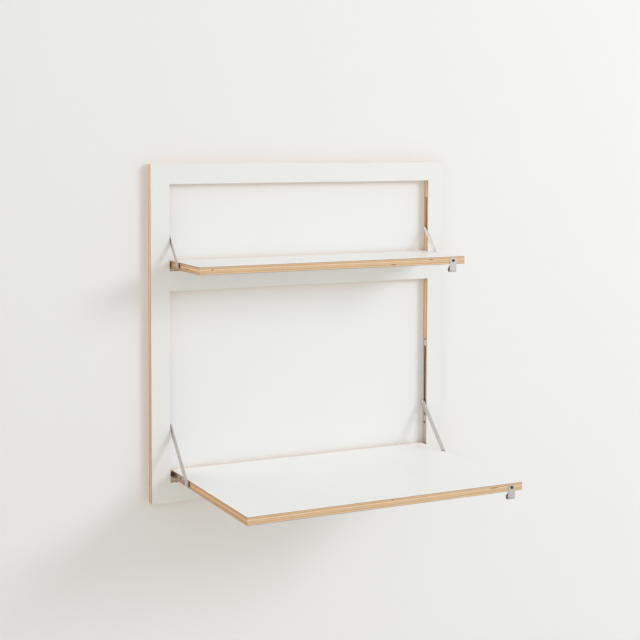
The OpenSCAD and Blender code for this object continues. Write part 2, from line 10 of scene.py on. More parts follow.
import bmesh
import bpy
from bpy.props import FloatProperty, FloatVectorProperty, IntProperty, PointerProperty
from bpy.types import Operator, Panel, PropertyGroup
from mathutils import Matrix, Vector

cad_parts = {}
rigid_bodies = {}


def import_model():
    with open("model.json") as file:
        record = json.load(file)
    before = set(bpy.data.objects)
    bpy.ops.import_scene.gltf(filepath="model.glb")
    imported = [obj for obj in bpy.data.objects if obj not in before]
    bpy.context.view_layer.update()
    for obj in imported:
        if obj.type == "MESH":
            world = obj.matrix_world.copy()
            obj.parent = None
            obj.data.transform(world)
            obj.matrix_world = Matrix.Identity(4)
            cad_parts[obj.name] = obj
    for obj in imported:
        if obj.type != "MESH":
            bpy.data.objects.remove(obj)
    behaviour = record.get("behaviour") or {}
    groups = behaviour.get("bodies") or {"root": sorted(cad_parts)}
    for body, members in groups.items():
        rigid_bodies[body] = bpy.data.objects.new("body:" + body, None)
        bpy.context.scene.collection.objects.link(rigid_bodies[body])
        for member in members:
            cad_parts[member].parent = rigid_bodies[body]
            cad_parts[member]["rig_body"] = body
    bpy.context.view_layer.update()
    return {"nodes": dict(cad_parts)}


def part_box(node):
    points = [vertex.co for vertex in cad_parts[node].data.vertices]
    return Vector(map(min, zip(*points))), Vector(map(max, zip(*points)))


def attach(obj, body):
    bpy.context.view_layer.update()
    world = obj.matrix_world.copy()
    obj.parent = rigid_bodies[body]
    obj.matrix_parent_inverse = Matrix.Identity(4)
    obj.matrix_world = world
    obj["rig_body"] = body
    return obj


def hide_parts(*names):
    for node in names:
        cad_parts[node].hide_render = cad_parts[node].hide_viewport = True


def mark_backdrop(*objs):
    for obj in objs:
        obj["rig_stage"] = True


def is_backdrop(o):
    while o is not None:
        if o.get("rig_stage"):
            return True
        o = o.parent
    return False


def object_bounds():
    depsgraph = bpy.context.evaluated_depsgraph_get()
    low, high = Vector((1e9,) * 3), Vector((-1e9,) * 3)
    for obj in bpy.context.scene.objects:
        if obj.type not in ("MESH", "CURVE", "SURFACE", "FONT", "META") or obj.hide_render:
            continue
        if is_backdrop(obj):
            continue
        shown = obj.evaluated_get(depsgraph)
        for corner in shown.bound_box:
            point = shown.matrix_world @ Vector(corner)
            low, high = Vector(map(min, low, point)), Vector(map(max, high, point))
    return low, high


bl_info = {
    "name": "Folding Secretary",
    "version": (1, 0, 0),
    "blender": (4, 5, 0),
    "location": "View3D > Sidebar > Secretary",
    "description": "Builds the finishes and fittings of a wall-hung folding secretary desk",
    "category": "Object",
}

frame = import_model()
MM = 0.001
AXES = {"X": 0, "Y": 1, "Z": 2}
SIDES = ("left", "right")

# Height of the rivet heads on each board, and the radius of every rivet's shank
RIVET_HEAD = {"desk": 1.3 * MM, "shelf": 0.65 * MM}
RIVET_SHANK = 2.5 * MM


def size(name, description, millimetres, least=0.0):
    """A length that the user can change, given in millimetres."""
    return FloatProperty(name=name, description=description, default=millimetres * MM,
                         min=least * MM, subtype="DISTANCE", unit="LENGTH", precision=5)


def share(name, description, default):
    """A share from 0 to 1."""
    return FloatProperty(name=name, description=description, default=default,
                         min=0.0, max=1.0, subtype="FACTOR")


def colour(name, description, default):
    """A colour in linear light."""
    return FloatVectorProperty(name=name, description=description, default=default,
                               size=3, min=0.0, max=1.0, subtype="COLOR")


class PlywoodSettings(PropertyGroup):
    """The bare birch plywood that shows on every edge."""

    plies: IntProperty(name="Plies", description="Number of plies between the two laminate skins",
                       default=7, min=3, max=15)
    early: colour("Early wood", "Light grain of a ply that is cut along its fibres",
                  (0.97, 0.79, 0.57))
    late: colour("Late wood", "Dark grain of a ply that is cut along its fibres",
                 (0.84, 0.60, 0.37))
    end_light: colour("End grain", "Ply that is cut across its fibres", (0.84, 0.57, 0.335))
    end_dark: colour("Pores", "Pores in the end grain", (0.50, 0.28, 0.13))
    heart: colour("Heartwood", "Tone of the darkest plies", (0.58, 0.33, 0.155))
    # Painted shade: the next colour darkens the channel floor that shows through the right rail's
    # slot.
    groove_shade: colour("Groove", "Scorched floor of the guide grooves", (0.20, 0.085, 0.045))
    # Painted shade: the next colour darkens the side faces, the faces that cut the outer plies
    # across.
    side_shade: colour("Oil", "Colour of end grain that is soaked with oil", (0.50, 0.235, 0.06))
    glue: colour("Glue line", "Dark line between two plies", (0.27, 0.13, 0.055))
    darkest: FloatProperty(name="Darkest ply", description="Level of the darkest ply, in plies",
                           default=1.3)
    swing: FloatProperty(name="Tone swing", description="Plies from one dark ply to the next",
                         default=4.3, min=1.0)
    contrast: share("Tone contrast", "Share of heartwood tone in the darkest ply", 0.52)
    # How much painted shade darkens the side faces.
    side_shade_share: share("Soaked sides", "How much the side edges are darkened by oil", 0.21)
    gap: colour("Open joint", "Bottom of a gap in an inner ply", (0.10, 0.045, 0.02))
    waviness: size("Waviness", "How far a ply wanders from its level", 0.35)
    roughness: share("Roughness", "Roughness of the sanded and sealed edge", 0.58)
    edge: size("Eased edge", "Width of the sanded corner", 0.22)


class LaminateSettings(PropertyGroup):
    """The white high-pressure laminate on both faces of the plywood."""

    decor: colour("White", "Decor layer of the laminate", (0.885, 0.885, 0.865))
    core: colour("Core", "Brown paper core that shows at a cut edge", (0.26, 0.13, 0.06))
    decor_depth: size("Decor depth", "Thickness of the white layer", 0.10)
    roughness: share("Roughness", "Roughness of the matt face", 0.42)
    edge: size("Eased edge", "Width of the eased corner", 0.12)


class SteelSettings(PropertyGroup):
    """The brushed stainless fittings."""

    steel: colour("Steel", "Colour of the brushed steel", (0.70, 0.675, 0.65))
    worn: colour("Dark streaks", "Colour in the bottom of the brush lines", (0.50, 0.475, 0.45))
    roughness: share("Roughness", "Mean roughness of the brushed faces", 0.32)
    lines: FloatProperty(name="Brush lines", description="Brush lines on each millimetre",
                         default=7.0, min=1.0)
    edge: size("Eased edge", "Width of the deburred corner", 0.3)


class HardwareSettings(PropertyGroup):
    """Screws, bushes and other small pieces."""

    oxide: colour("Black oxide", "Colour of the dark screws", (0.10, 0.09, 0.08))
    nylon: colour("Nylon", "Colour of the sliders and spacers", (0.11, 0.065, 0.042))
    washer: colour("Washer", "Colour of the pivot washers", (0.33, 0.21, 0.14))
    brass: colour("Brass", "Colour of the hinge bushes", (0.78, 0.60, 0.28))
    rubber: colour("Rubber", "Colour of the wall bumpers", (0.03, 0.03, 0.03))
    socket: size("Socket", "Radius of the socket in a countersunk screw", 1.45)
    socket_depth: size("Socket depth", "Depth of the sockets", 1.2)
    dome: share("Rivet dome", "Share of a rivet head's height that is domed", 0.6)


class StageSettings(PropertyGroup):
    """The wall, the floor, the lights and the camera."""

    wall: colour("Wall", "Paint on the wall", (0.915, 0.915, 0.915))
    floor: colour("Floor", "Pale floor", (0.74, 0.70, 0.65))
    floor_drop: size("Desk height", "Height of the desk board over the floor", 740)
    sky: FloatProperty(name="Ambient", description="Strength of the even light", default=0.95,
                       min=0.0)
    sky_left: colour("Left light", "Tint of the light from the left", (0.80, 0.69, 0.57))
    sky_right: colour("Right light", "Tint of the light from the right", (0.95, 0.985, 1.0))
    ceiling: share("Ceiling", "How much darker the even light is straight above", 0.26)
    key: FloatProperty(name="Key light", description="Power of the soft box on the right",
                       default=96.0, min=0.0, unit="POWER")
    key_tint: colour("Key tint", "Tint of the soft box", (0.88, 0.95, 1.0))
    key_side: size("Key width", "Side of the soft box", 1800)
    key_far: size("Key distance", "Distance of the soft box", 6000)
    back: FloatProperty(name="Back light", description="Power of the light behind the wall",
                        default=14.0, min=0.0, unit="POWER")


GROUPS = (
    ("secretary_plywood", PlywoodSettings),
    ("secretary_laminate", LaminateSettings),
    ("secretary_steel", SteelSettings),
    ("secretary_hardware", HardwareSettings),
    ("secretary_stage", StageSettings),
)


# ---- Shader maths ----


class Value:
    """One output of a shader node. An expression on it adds Math nodes."""

    def __init__(self, finish, socket):
        self.finish, self.socket = finish, socket

    def __add__(self, other):
        return self.finish.math("ADD", self, other)

    def __sub__(self, other):
        return self.finish.math("SUBTRACT", self, other)

    def __rsub__(self, other):
        return self.finish.math("SUBTRACT", other, self)

    def __mul__(self, other):
        return self.finish.math("MULTIPLY", self, other)

    def __truediv__(self, other):
        return self.finish.math("DIVIDE", self, other)

    def __abs__(self):
        return self.finish.math("ABSOLUTE", self)

    __radd__ = __add__
    __rmul__ = __mul__


class Finish:
    """Builds the nodes of one material. self.place is the point on the object, in metres."""

    def __init__(self, name):
        self.material = bpy.data.materials.new(name)
        self.start(self.material, "Object")

    @classmethod
    def around(cls, world):
        """The same for a world, where self.place is the direction from which the light comes."""
        made = cls.__new__(cls)
        made.start(world, "Generated")
        return made

    def start(self, owner, place):
        owner.use_nodes = True
        self.tree = owner.node_tree
        self.tree.nodes.clear()
        self.place = self.node("ShaderNodeTexCoord", output=place)

    def node(self, kind, settings=None, inputs=None, output=0):
        """Adds a node, makes its settings, feeds its sockets and returns one output."""
        made = self.tree.nodes.new(kind)
        for name, value in (settings or {}).items():
            setattr(made, name, value)
        for key, value in (inputs or {}).items():
            if isinstance(value, Value):
                self.tree.links.new(value.socket, made.inputs[key])
            else:
                made.inputs[key].default_value = value
        return Value(self, made.outputs[output]) if output is not None else None

    def math(self, operation, *values):
        return self.node("ShaderNodeMath", {"operation": operation}, dict(enumerate(values)))

    def vector_math(self, operation, *values, output=0):
        return self.node("ShaderNodeVectorMath", {"operation": operation},
                         dict(enumerate(values)), output)

    def part(self, axis, vector=None):
        """One coordinate of a vector, of the place if none is given."""
        return self.node("ShaderNodeSeparateXYZ", None, {0: vector or self.place}, AXES[axis])

    def noise(self, scale, detail=2.0, roughness=0.5, shift=0.0):
        """Noise from 0 to 1. Scale is cells to the metre, one number or one for each axis."""
        scales = scale if isinstance(scale, tuple) else (scale,) * 3
        stretched = self.vector_math("MULTIPLY", self.place, scales)
        moved = self.vector_math("ADD", stretched, (shift, shift * 0.7, shift * 1.3))
        return self.node("ShaderNodeTexNoise", {"normalize": True},
                         {"Vector": moved, "Scale": 1.0, "Detail": detail,
                          "Roughness": roughness})

    def fade(self, value, low, high):
        """0 at low and 1 at high, with a smooth turn between them."""
        return self.node("ShaderNodeMapRange", {"interpolation_type": "SMOOTHSTEP"},
                         {"Value": value, "From Min": low, "From Max": high})

    def near(self, value, level, reach):
        """1 where a value is within reach of a level."""
        return self.math("COMPARE", value, level, reach)

    def mix(self, amount, first, second):
        """A colour that goes from the first to the second."""
        full = [c if isinstance(c, Value) else (*c, 1.0) for c in (first, second)]
        return self.node("ShaderNodeMix", {"data_type": "RGBA"},
                         {0: amount, 6: full[0], 7: full[1]}, 2)

    def bump(self, height, depth):
        """Small relief: height is from 0 to 1, and depth is what 1 stands for."""
        return self.node("ShaderNodeBump", None, {"Height": height, "Distance": depth})

    def principled(self, **sockets):
        """A Principled shader. Words in a socket's name join with _."""
        inputs = {}
        for name, value in sockets.items():
            key = " ".join(word if word == "IOR" else word.capitalize()
                           for word in name.split("_"))
            inputs[key] = (*value, 1.0) if key.endswith("Color") and isinstance(
                value, (tuple, list)) else value
        return self.node("ShaderNodeBsdfPrincipled", None, inputs)

    def surface(self, **sockets):
        """Ends the material with a Principled shader."""
        self.end(self.principled(**sockets))
        return self.material

    def one_sided(self, **sockets):
        """The same, but only on the front of a sheet. Its back can be seen through."""
        back = self.node("ShaderNodeNewGeometry", output="Backfacing")
        clear = self.node("ShaderNodeBsdfTransparent")
        self.end(self.node("ShaderNodeMixShader", None,
                           {0: back, 1: self.principled(**sockets), 2: clear}))
        return self.material

    def end(self, shader, kind="ShaderNodeOutputMaterial"):
        self.node(kind, None, {"Surface": shader}, None)


def stretch(axis, along, across):
    """Noise scales that are along on two axes and across on the given one."""
    return tuple(across if AXES[axis] == i else along for i in range(3))


def plywood(name, settings, across, low, high, turned_faces, joints=(), groove_shade=None):
    """Layered plywood edge. across is the axis through the plies, which fill low to high.

    turned_faces are (axis, level) of the faces that cut the outer plies across their fibres.
    joints are (axis, along, level, length) of open joints. Each one runs right through.
    The last argument is two opposite corners of the box on the right where the channel floor gets
    painted shade. The left one mirrors it.
    """
    f = Finish(name)
    ply = (high - low) / settings.plies
    wander = (f.noise(14.0) - 0.5) * (2 * settings.waviness)
    level = (f.part(across) + wander - low) / ply
    number = f.math("FLOOR", level)
    inside = f.math("FRACT", level)
    turned = None
    for axis, plane in turned_faces:
        hit = f.near(abs(f.part(axis)), abs(plane), 0.4 * MM)
        turned = hit if turned is None else f.math("MAXIMUM", turned, hit)
    crossed = f.math("PINGPONG", number + turned, 1.0)
    # The veneers come from different logs, so the tone swings from ply to ply.
    swing = f.math("COSINE", (number - settings.darkest) * (math.tau / settings.swing))
    streaks = f.noise(stretch(across, 22.0, 2400.0), 3.0, 0.6)
    fine = f.noise(stretch(across, 180.0, 5200.0), 2.0, 0.55, 4.0)
    pores = f.noise(1500.0, 2.0, 0.6, 9.0)
    cloud = f.noise(stretch(across, 7.0, 260.0), 2.0, 0.5, 2.0)
    along_fibres = f.mix(f.fade(streaks * 0.65 + fine * 0.35, 0.36, 0.66),
                         settings.early, settings.late)
    end_grain = f.mix(f.fade(pores, 0.46, 0.70), settings.end_light, settings.end_dark)
    wood = f.mix(crossed, along_fibres, end_grain)
    wood = f.mix((swing + 1.0) * 0.5 * settings.contrast, wood, settings.heart)
    wood = f.mix(f.fade(cloud, 0.50, 0.78) * 0.4, wood, settings.late)
    # Painted shade on the side faces, deeper on the darker plies.
    wood = f.mix(turned * ((swing + 1.6) * settings.side_shade_share), wood, settings.side_shade)
    glue = f.fade(abs(inside - 0.5), 0.44, 0.5) * f.fade(f.noise(60.0, 2.0), 0.25, 0.55)
    wood = f.mix(glue * 0.75, wood, settings.glue)
    hollow = None
    for axis, along, height, length in joints:
        far = abs(f.part(axis) - along) / (length / 2)
        off = abs(f.part(across) - height) / (0.42 * ply)
        spot = f.fade(far * far + off * off, 1.0, 0.45)
        hollow = spot if hollow is None else f.math("MAXIMUM", hollow, spot)
    if hollow is not None:
        wood = f.mix(hollow * 0.9, wood, settings.gap)
    if groove_shade:
        # Painted shade on the channel floor behind the rails, mirrored to the left.
        centre, half = (groove_shade[0] + groove_shade[1]) / 2, (groove_shade[1] - groove_shade[0]) / 2
        groove_shade_mask = (f.near(abs(f.part("X")), centre.x, half.x)
                    * f.near(f.part("Z"), centre.z, half.z))
        wood = f.mix(groove_shade_mask * 0.9, wood, settings.groove_shade)
    relief = pores * crossed * 0.5 + streaks * 0.35 - glue * 0.5
    if hollow is not None:
        relief = relief - hollow * 1.5
    rough = settings.roughness + (fine - 0.5) * 0.16 + crossed * 0.06
    return f.surface(Base_Color=wood, Roughness=rough, Normal=f.bump(relief, 0.12 * MM),
                     Specular_IOR_Level=0.4)


def laminate(name, settings, across, outer, inwards):
    """White laminate whose outer face lies at outer on the across axis."""
    f = Finish(name)
    depth = (f.part(across) - outer) * inwards
    tint = f.noise(2.2, 3.0, 0.6)
    fleck = f.noise(900.0, 2.0)
    grey = tuple(c * 0.965 for c in settings.decor)
    white = f.mix(f.fade(tint, 0.35, 0.75) * 0.55, settings.decor, grey)
    white = f.mix(f.fade(fleck, 0.60, 0.80) * 0.12, white, grey)
    paper = f.mix(f.noise(stretch(across, 60.0, 4000.0), 2.0), settings.core,
                  tuple(c * 0.6 for c in settings.core))
    cut = f.fade(depth, settings.decor_depth * 0.8, settings.decor_depth * 1.2)
    smudge = f.noise(9.0, 4.0, 0.6, 5.0)
    rough = (settings.roughness + (smudge - 0.5) * 0.14) * (1 - cut) + cut * 0.7
    relief = f.noise(420.0, 2.0, 0.5) * 0.6 + fleck * 0.4
    return f.surface(Base_Color=f.mix(cut, white, paper), Roughness=rough,
                     Normal=f.bump(relief, 0.02 * MM), Specular_IOR_Level=0.45)


def brushed_steel(name, settings, direction, tone=1.0):
    """Stainless steel that is brushed along a direction. A tone under 1 darkens it as painted
    shade.
    """
    f = Finish(name)
    run = Vector(direction).normalized()
    along = f.vector_math("DOT_PRODUCT", f.place, tuple(run), output="Value")
    back = f.node("ShaderNodeVectorMath", {"operation": "SCALE"},
                  {"Vector": tuple(run), "Scale": along * 0.988})
    flat = f.vector_math("SUBTRACT", f.place, back)
    pitch = settings.lines / MM
    lines = f.node("ShaderNodeTexNoise", None,
                   {"Vector": flat, "Scale": pitch, "Detail": 2.0, "Roughness": 0.6})
    bands = f.node("ShaderNodeTexNoise", None,
                   {"Vector": flat, "Scale": pitch / 9, "Detail": 2.0})
    stain = f.noise(55.0, 3.0, 0.6, 1.0)
    bright = tuple(c * tone for c in settings.steel)
    dull = tuple(c * tone for c in settings.worn)
    metal = f.mix(f.fade(lines * 0.6 + bands * 0.4, 0.42, 0.72), bright, dull)
    metal = f.mix(f.fade(stain, 0.5, 0.85) * 0.35, metal, dull)
    rough = settings.roughness + (lines - 0.5) * 0.22 + (stain - 0.5) * 0.16
    return f.surface(Base_Color=metal, Metallic=1.0, Roughness=rough,
                     Normal=f.bump(lines, 0.012 * MM))


def plain_metal(name, base, roughness, lines=1500.0):
    """Turned metal with fine marks and dull patches."""
    f = Finish(name)
    marks = f.noise(lines, 2.0, 0.6)
    patches = f.noise(160.0, 3.0, 0.6, 3.0)
    worn = tuple(min(1.0, c * 1.6 + 0.02) for c in base)
    skin = f.mix(f.fade(patches, 0.52, 0.80) * 0.5, base, worn)
    rough = roughness + (marks - 0.5) * 0.2
    return f.surface(Base_Color=skin, Metallic=1.0, Roughness=rough,
                     Normal=f.bump(marks, 0.01 * MM))


def moulded(name, base, roughness, grain=700.0):
    """Moulded plastic or rubber with a fine grain."""
    f = Finish(name)
    texture = f.noise(grain, 3.0, 0.6)
    dust = f.noise(45.0, 3.0, 0.6, 6.0)
    pale = tuple(min(1.0, c * 1.5 + 0.03) for c in base)
    skin = f.mix(f.fade(dust, 0.5, 0.8) * 0.45, base, pale)
    return f.surface(Base_Color=skin, Roughness=roughness + (texture - 0.5) * 0.2,
                     Normal=f.bump(texture, 0.03 * MM), Specular_IOR_Level=0.4)


def paint(name, base, pitch, depth):
    """Matt paint with the faint texture of a roller: its nodes, and what its shader takes."""
    f = Finish(name)
    cloud = f.noise(0.9, 3.0, 0.5)
    roller = f.noise(pitch, 3.0, 0.6)
    shade = f.mix(f.fade(cloud, 0.3, 0.8) * 0.4, base, tuple(c * 0.985 for c in base))
    return f, {"Base_Color": shade, "Roughness": 0.75 + (roller - 0.5) * 0.1,
               "Normal": f.bump(roller, depth), "Specular_IOR_Level": 0.2}


MATERIALS = {}


def material(key, make):
    """A material that pieces share: it is made the first time that it is asked for."""
    if key not in MATERIALS:
        MATERIALS[key] = make(key)
    return MATERIALS[key]


# ---- Shapes ----


def node_form(node):
    """The form of a CAD node, its corners welded and its flat facets joined up."""
    source = frame["nodes"][node].data
    form = bmesh.new()
    corners = [form.verts.new(v.co) for v in source.vertices]
    for polygon in source.polygons:
        form.faces.new([corners[i] for i in polygon.vertices])
    bmesh.ops.remove_doubles(form, verts=form.verts, dist=0.002 * MM)
    bmesh.ops.dissolve_limit(form, angle_limit=math.radians(0.8), verts=form.verts,
                             edges=form.edges)
    return form


def ease(form, width, segments=2):
    """Rounds every sharp edge of a form."""
    sharp = [e for e in form.edges
             if len(e.link_faces) == 2 and e.calc_face_angle(0.0) > math.radians(40)]
    if sharp and width > 0:
        bmesh.ops.bevel(form, geom=sharp, offset=width, segments=segments, profile=0.5,
                        affect="EDGES", clamp_overlap=True)
    return form


def solids(node):
    """(lowest corner, highest corner) of each separate solid of a CAD node."""
    form = node_form(node)
    left, found = set(form.verts), []
    while left:
        heap, piece = [left.pop()], []
        while heap:
            v = heap.pop()
            piece.append(v.co.copy())
            for e in v.link_edges:
                other = e.other_vert(v)
                if other in left:
                    left.discard(other)
                    heap.append(other)
        found.append((Vector(map(min, zip(*piece))), Vector(map(max, zip(*piece)))))
    form.free()
    return sorted(found, key=lambda box: tuple(box[0]))


def outline_radius(shape, radius, angle):
    """Radius at an angle of a round, a six-lobed or a hexagonal outline."""
    if shape == "star":
        return radius * (1 + 0.13 * math.cos(6 * angle))
    if shape == "hex":
        sector = math.radians(60)
        return radius * math.cos(sector / 2) / math.cos((angle % sector) - sector / 2)
    return radius


def turn(form, profile, start, direction, steps=48):
    """Adds a turned form. profile is (distance along, radius, outline) from end to end."""
    axis = Vector(direction).normalized()
    side = axis.orthogonal().normalized()
    up = axis.cross(side)
    rings = []
    for along, radius, shape in profile:
        ring = []
        for i in range(steps):
            angle = 2 * math.pi * i / steps
            r = outline_radius(shape, radius, angle)
            ring.append(form.verts.new(
                start + axis * along + (side * math.cos(angle) + up * math.sin(angle)) * r))
        rings.append(ring)
    for near_ring, far_ring in zip(rings, rings[1:]):
        for i in range(steps):
            k = (i + 1) % steps
            form.faces.new((near_ring[i], near_ring[k], far_ring[k], far_ring[i]))
    form.faces.new(tuple(reversed(rings[0])))
    form.faces.new(tuple(rings[-1]))


def curve(radius_from, radius_to, along_from, along_to, steps=6):
    """Points of a quarter ellipse, from the crown outwards to the rim."""
    points = []
    for i in range(steps + 1):
        angle = math.pi / 2 * i / steps
        points.append((along_from + (along_to - along_from) * (1 - math.cos(angle)),
                       radius_from + (radius_to - radius_from) * math.sin(angle), "round"))
    return points


def screw_profile(length, head, shank, socket, depth):
    """Countersunk screw from the bottom of its socket to its point."""
    lip = 0.12 * MM
    cone = head - shank
    return [
        (depth, socket * 0.92, "star"), (lip, socket, "star"), (0.0, socket * 1.08, "star"),
        (0.0, head - 2 * lip, "round"), (lip, head, "round"), (cone, shank, "round"),
        (length - 3 * shank, shank, "round"), (length, shank * 0.15, "round"),
    ]


def button_profile(length, head, rise, shank, socket, depth):
    """Button-head screw from the bottom of its hexagonal socket to its point."""
    lip = 0.15 * MM
    crown = socket + 0.8 * MM
    return [
        (depth, socket * 0.96, "hex"), (lip, socket, "hex"), (0.0, socket + lip, "round"),
        *curve(crown, head, 0.0, rise * 0.85), (rise, head, "round"), (rise, shank, "round"),
        (length - 2 * shank, shank, "round"), (length, shank * 0.3, "round"),
    ]


def rivet_profile(length, head, rise, shank, dome):
    """Rivet from the crown of its head to the end of its shank."""
    dimple = 0.18 * MM
    return [
        (dimple, head * 0.10, "round"), (dimple * 0.4, head * 0.24, "round"),
        *curve(head * 0.34, head * 0.96, 0.0, rise * dome),
        (rise * (dome + 0.08), head, "round"), (rise - 0.1 * MM, head, "round"),
        (rise, head - 0.1 * MM, "round"), (rise, shank, "round"),
        (length - 0.2 * MM, shank, "round"), (length, shank - 0.2 * MM, "round"),
    ]


def put(name, form, node, skin):
    """Makes a piece from a form, in place of a CAD node and on that node's body."""
    mesh = bpy.data.meshes.new(name)
    bmesh.ops.recalc_face_normals(form, faces=form.faces)
    form.to_mesh(mesh)
    form.free()
    mesh.polygons.foreach_set("use_smooth", [True] * len(mesh.polygons))
    mesh.set_sharp_from_angle(angle=math.radians(38))
    mesh.materials.append(skin)
    piece = bpy.data.objects.new(name, mesh)
    bpy.context.scene.collection.objects.link(piece)
    even = piece.modifiers.new("Even shading", "WEIGHTED_NORMAL")
    even.keep_sharp = True
    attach(piece, frame["nodes"][node]["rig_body"])
    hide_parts(node)
    return piece


def eased_piece(node, width, skin, segments=2):
    """A piece with the shape of its CAD node and rounded edges."""
    return put(node + "_eased", ease(node_form(node), width, segments), node, skin)


def ends(box, axis, head_at):
    """Start and direction of a fastener: head_at is inner, outer, low or high on its axis."""
    low, high = box
    middle = (low + high) / 2
    first, last = middle.copy(), middle.copy()
    first[axis], last[axis] = low[axis], high[axis]
    flip = {"low": False, "high": True, "inner": middle[axis] < 0,
            "outer": middle[axis] > 0}[head_at]
    return (last, first) if flip else (first, last)


def fastener_piece(node, axis, head_at, skin, profile):
    """One piece with a turned fastener for each solid of a CAD node."""
    form = bmesh.new()
    across = (AXES[axis] + 1) % 3
    for low, high in solids(node):
        start, end = ends((low, high), AXES[axis], head_at)
        turn(form, profile((end - start).length, (high - low)[across] / 2), start, end - start)
    return put(node + "_turned", form, node, skin)


def middle(node):
    """The middle of a CAD node's box."""
    low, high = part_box(node)
    return (low + high) / 2


# ---- Operators ----


class SecretaryStep(Operator):
    """One step of the build."""

    bl_options = {"REGISTER", "UNDO"}

    def execute(self, context):
        scene = context.scene
        self.plywood = scene.secretary_plywood
        self.laminate = scene.secretary_laminate
        self.steel = scene.secretary_steel
        self.hardware = scene.secretary_hardware
        self.stage = scene.secretary_stage
        self.build(context)
        return {"FINISHED"}

    def build(self, context):
        raise NotImplementedError(self.bl_idname)

    def steel_along(self, direction, tone=1.0):
        """Brushed steel, one material for each direction and tone. A tone under 1 is painted
        shade.
        """
        unit = Vector(direction).normalized()
        key = "Steel_" + "_".join(f"{round(100 * c)}" for c in unit) + f"_{round(100 * tone)}"
        return material(key, lambda name: brushed_steel(name, self.steel, unit, tone))

    def oxide(self):
        return material("Black_oxide",
                        lambda name: plain_metal(name, self.hardware.oxide, 0.42))

    def turned_steel(self):
        base = tuple(self.steel.steel)
        return material("Turned_steel", lambda name: plain_metal(name, base, 0.33))

    def nylon(self):
        return material("Nylon", lambda name: moulded(name, self.hardware.nylon, 0.55))

    def steel_piece(self, node, direction, tone=1.0):
        return eased_piece(node, self.steel.edge,
                           self.steel_along(direction, tone))

    def countersunk(self, node, axis, head_at, skin, slot):
        hardware = self.hardware

        def profile(length, head):
            return screw_profile(length, head, head * 0.55, hardware.socket,
                                 hardware.socket_depth)

        return fastener_piece(node, axis, head_at, skin, profile)

    def rivets(self, node, board, head_at):
        dome = self.hardware.dome

        def profile(length, head):
            return rivet_profile(length, head, RIVET_HEAD[board], RIVET_SHANK, dome)

        return fastener_piece(node, "X", head_at, self.turned_steel(),
                              profile)


class SECRETARY_OT_frame(SecretaryStep):
    """Builds the plywood frame and its two laminate skins"""

    bl_idname = "secretary.frame"
    bl_label = "Frame"

    # Open joint in the side: (axis, place along it, level across the plies, length)
    joints = (("Z", -0.53, -9 * MM, 5 * MM),)
    # The painted shade on the channel floor starts this far behind the rail's face and ends this
    # far past its back
    groove_shade_from = Vector((1 * MM, 0, 0))
    groove_shade_to = Vector((12 * MM, 0, 0))

    def build(self, context):
        low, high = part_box("frame_core")
        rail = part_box("guide_rail_right")
        wood = plywood("Frame_plywood", self.plywood, "Y", low.y, high.y,
                       (("X", high.x), ("X", rail[0].x)), self.joints,
                       (rail[0] + self.groove_shade_from, rail[1] + self.groove_shade_to))
        eased_piece("frame_core", self.plywood.edge, wood)
        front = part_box("frame_front_laminate")[0].y
        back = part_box("frame_back_laminate")[1].y
        eased_piece("frame_front_laminate", self.laminate.edge,
                    laminate("Frame_front_laminate", self.laminate, "Y", front, 1.0))
        eased_piece("frame_back_laminate", self.laminate.edge,
                    laminate("Frame_back_laminate", self.laminate, "Y", back, -1.0))


class SECRETARY_OT_guides(SecretaryStep):
    """Builds the slotted guide rails in the stiles and their screws"""

    bl_idname = "secretary.guides"
    bl_label = "Guide rails"

    def build(self, context):
        for side in SIDES:
            self.steel_piece("guide_rail_" + side, (0, 0, 1))
        self.countersunk("guide_rail_screws", "X", "inner", self.oxide(), "dark_screw")


class SECRETARY_OT_hinges(SecretaryStep):
    """Builds the hinge pins, spacers, washers and bushes"""

    bl_idname = "secretary.hinges"
    bl_label = "Hinges"

    def build(self, context):
        for node in ("desk_hinge_pins", "shelf_hinge_pins"):
            eased_piece(node, 2 * self.steel.edge, self.turned_steel())
        for node in ("desk_hinge_spacers", "shelf_hinge_washers"):
            eased_piece(node, self.steel.edge, self.nylon())
        brass = material("Brass", lambda name: plain_metal(name, self.hardware.brass, 0.3))
        eased_piece("shelf_hinge_bushes", self.steel.edge, brass)


class SECRETARY_OT_wall_fixing(SecretaryStep):
    """Builds the keyhole plates, their screws and the wall bumpers"""

    bl_idname = "secretary.wall_fixing"
    bl_label = "Wall fixing"

    def build(self, context):
        for side in SIDES:
            self.steel_piece("hanger_plate_" + side, (1, 0, 0))
        self.countersunk("hanger_screws", "Y", "high", self.turned_steel(), "stainless_steel")
        rubber = material("Rubber", lambda name: moulded(name, self.hardware.rubber, 0.7))
        eased_piece("wall_bumpers", 0.6 * MM, rubber, 3)


class SECRETARY_OT_boards(SecretaryStep):
    """Builds the desk board and the shelf board"""

    bl_idname = "secretary.boards"
    bl_label = "Boards"

    # Open joints in the edges: (axis, place along it, height over the board's middle, length)
    joints = {
        "desk": (("X", 0.003, 6.0 * MM, 7 * MM), ("X", 0.269, 3.2 * MM, 26 * MM),
                 ("Y", -0.277, -5.9 * MM, 7 * MM)),
        "shelf": (("X", 0.149, -4.1 * MM, 16 * MM), ("X", 0.253, 3.8 * MM, 12 * MM),
                  ("X", -0.318, 2.0 * MM, 8 * MM), ("Y", -0.118, -1.8 * MM, 22 * MM)),
    }

    def build(self, context):
        for board, joints in self.joints.items():
            low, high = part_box(board + "_core")
            level = (low.z + high.z) / 2
            places = [(axis, along, level + height, length)
                      for axis, along, height, length in joints]
            wood = plywood(board.capitalize() + "_plywood", self.plywood, "Z", low.z, high.z,
                           (("X", high.x),), places)
            eased_piece(board + "_core", self.plywood.edge, wood)
            for face, inwards in (("top", -1.0), ("bottom", 1.0)):
                node = f"{board}_{face}_laminate"
                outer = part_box(node)[1 if face == "top" else 0].z
                skin = laminate(f"{board.capitalize()}_{face}_laminate", self.laminate, "Z",
                                outer, inwards)
                eased_piece(node, self.laminate.edge, skin)


